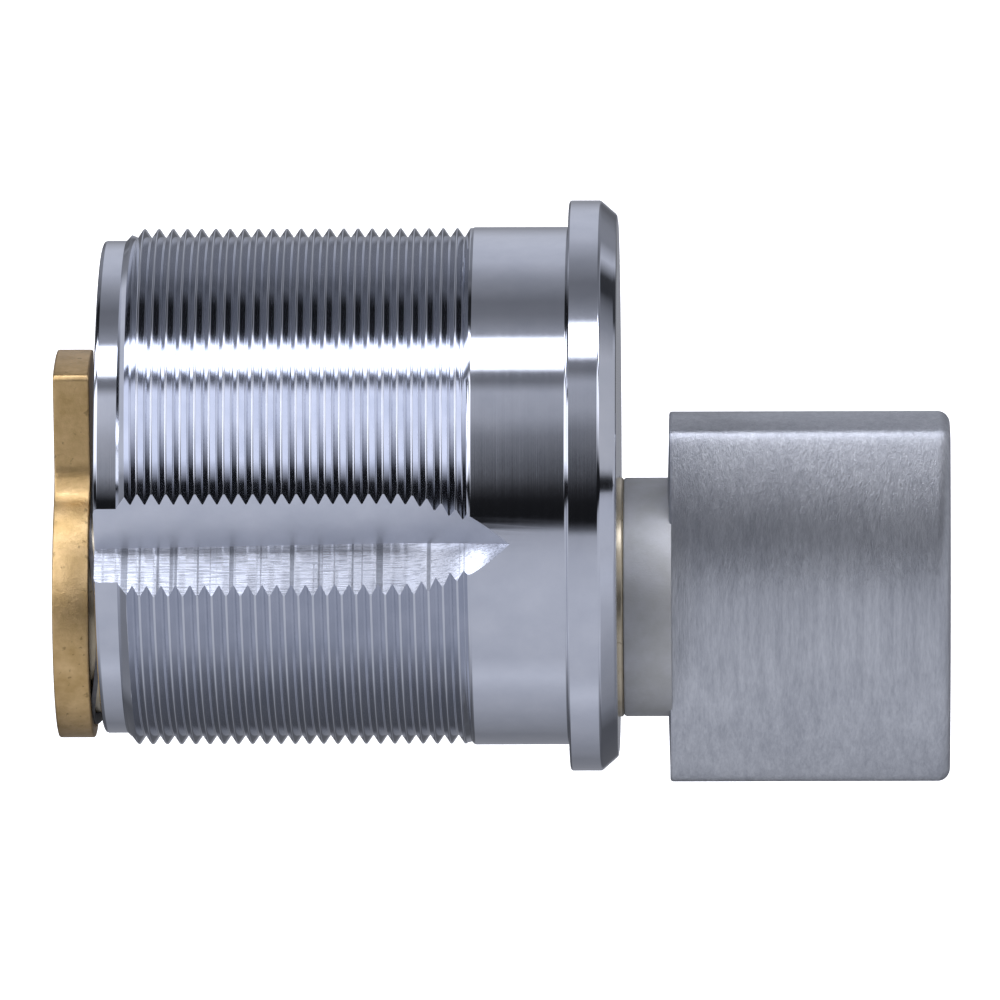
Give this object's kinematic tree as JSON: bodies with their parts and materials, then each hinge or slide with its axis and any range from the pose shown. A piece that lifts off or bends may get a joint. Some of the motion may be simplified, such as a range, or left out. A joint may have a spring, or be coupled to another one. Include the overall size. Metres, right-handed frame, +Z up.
{
  "type": "thumbturn mortise cylinder",
  "caption": "Threaded mortise lock cylinder with a flanged barrel, an off-centre thumbturn knob and a lobed cam behind.",
  "frame": {"origin": "centre of the flange's back face, on the axis of the threaded barrel", "axes": "+X along the barrel from the cam towards the thumbturn, +Z up, the way the cam's lobe points at rest, and +Y completes a right-handed frame"},
  "size_m": [0.0499, 0.0318, 0.0328],
  "materials": {
    "polished_chrome": "polished, with fine turning marks",
    "satin_chrome": "satin, brushed along the knob's ends",
    "plug_brass": "turned, dull",
    "cam_brass": "as pressed, slightly tarnished",
    "spring_steel": "dark, oiled",
    "ball_steel": "polished",
    "screw_steel": "zinc plated"
  },
  "bodies": {
    "barrel": {"cylinder_body": "polished_chrome"},
    "turning_group": {"plug": "plug_brass", "thumbturn": "satin_chrome", "thumbturn_pin": "spring_steel", "wave_washer": "spring_steel", "detent_spring_upper": "spring_steel", "detent_spring_lower": "spring_steel", "cam": "cam_brass", "cam_screw_left": "screw_steel", "cam_screw_right": "screw_steel"},
    "upper_ball": {"detent_ball_upper": "ball_steel"},
    "lower_ball": {"detent_ball_lower": "ball_steel"}
  },
  "joints": [
    {"name": "thumbturn_turn", "type": "hinge", "parent": "barrel", "child": "turning_group", "pos_m": [0, 0, -0.0065], "axis": [1, 0, 0], "continuous": true},
    {"name": "upper_detent", "type": "slide", "parent": "turning_group", "child": "upper_ball", "axis": [0, 0, 1], "range_m": [0, 0.00035], "stiffness_N_per_m": 800, "springref_m": 0.001, "deforming": ["detent_spring_upper"]},
    {"name": "lower_detent", "type": "slide", "parent": "turning_group", "child": "lower_ball", "axis": [0, 0, -1], "range_m": [0, 0.00035], "stiffness_N_per_m": 800, "springref_m": 0.001, "deforming": ["detent_spring_lower"]}
  ]
}
